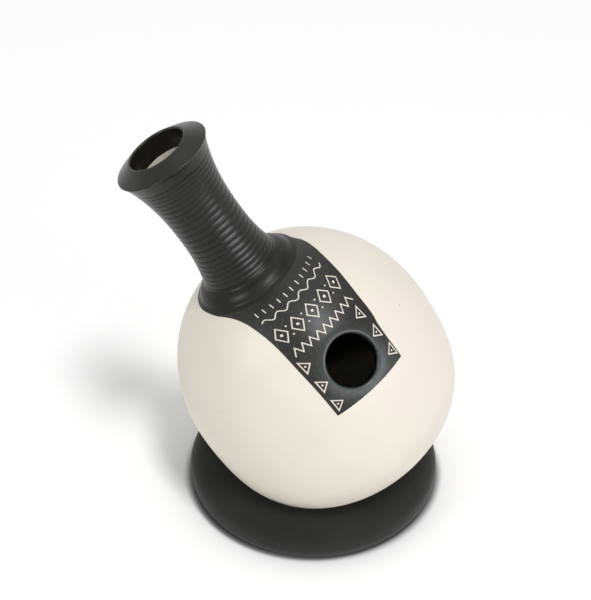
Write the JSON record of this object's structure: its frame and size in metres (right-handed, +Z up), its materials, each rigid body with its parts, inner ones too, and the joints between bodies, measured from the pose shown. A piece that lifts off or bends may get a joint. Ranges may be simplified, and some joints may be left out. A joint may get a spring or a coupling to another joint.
{
  "type": "udu drum",
  "caption": "Hollow clay udu drum with a ribbed black neck, a flared mouth and a round side hole in a black band, sitting tilted in a soft dark ring it lifts out of.",
  "frame": {"origin": "centre of the ring, on the plane that the ring stands on", "axes": "+Z up, the neck leans towards -X, and the side hole faces the player on the -Y side"},
  "size_m": [0.3059, 0.25, 0.3996],
  "materials": {
    "pale_clay": "satin",
    "black_slip": "satin",
    "ring_foam": "matte"
  },
  "bodies": {
    "ring": {"stand_ring": "ring_foam"},
    "drum": {"belly": "pale_clay", "neck": "black_slip", "neck_collar": "black_slip", "mouth_lip": "black_slip", "sound_hole_rim": "black_slip"}
  },
  "joints": [
    {"name": "drum_lift", "type": "slide", "parent": "ring", "child": "drum", "axis": [0, 0, 1], "range_m": [0, 0.25]}
  ]
}
